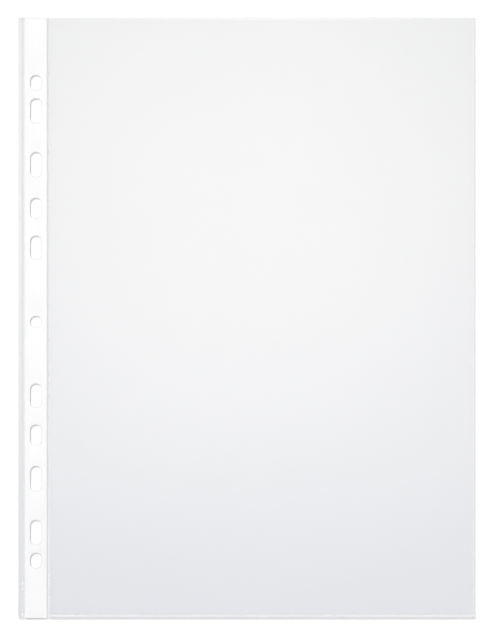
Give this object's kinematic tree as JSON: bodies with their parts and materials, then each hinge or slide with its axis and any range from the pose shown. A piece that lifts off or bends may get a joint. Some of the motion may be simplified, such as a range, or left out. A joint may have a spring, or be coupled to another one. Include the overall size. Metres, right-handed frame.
{
  "type": "sheet protector",
  "caption": "Clear film pocket, open at the top, with a white reinforced binding strip punched with a round hole and slots, so that it fits many ring binders.",
  "frame": {"origin": "middle of the pocket's outline, on the underside of the rear film", "axes": "+X from the binding strip to the fold, +Y up to the open mouth, +Z out of the front film"},
  "size_m": [0.2304, 0.303, 0.0004],
  "materials": {
    "clear_film": "clear polypropylene film, smooth, faintly hazy",
    "white_strip": "opaque white polypropylene tape",
    "weld": "film welded and pressed, clear with a knurl"
  },
  "bodies": {
    "binding_edge": {"binding_strip": "white_strip", "rear_spine_film": "clear_film", "front_spine_film": "clear_film", "outer_weld": "weld"},
    "pocket": {"inner_weld": "weld", "bottom_weld": "weld", "side_fold": "clear_film", "rear_panel": "clear_film"},
    "front_leaf": {"front_panel": "clear_film"}
  },
  "joints": [
    {"name": "page_turn", "type": "hinge", "parent": "binding_edge", "child": "pocket", "pos_m": [-0.10085, 0, 0.00044], "axis": [0, -1, 0], "range_deg": [0, 90]},
    {"name": "mouth_open", "type": "hinge", "parent": "pocket", "child": "front_leaf", "pos_m": [0, -0.1492, 0.00044], "axis": [1, 0, 0], "range_deg": [0, 3]}
  ]
}
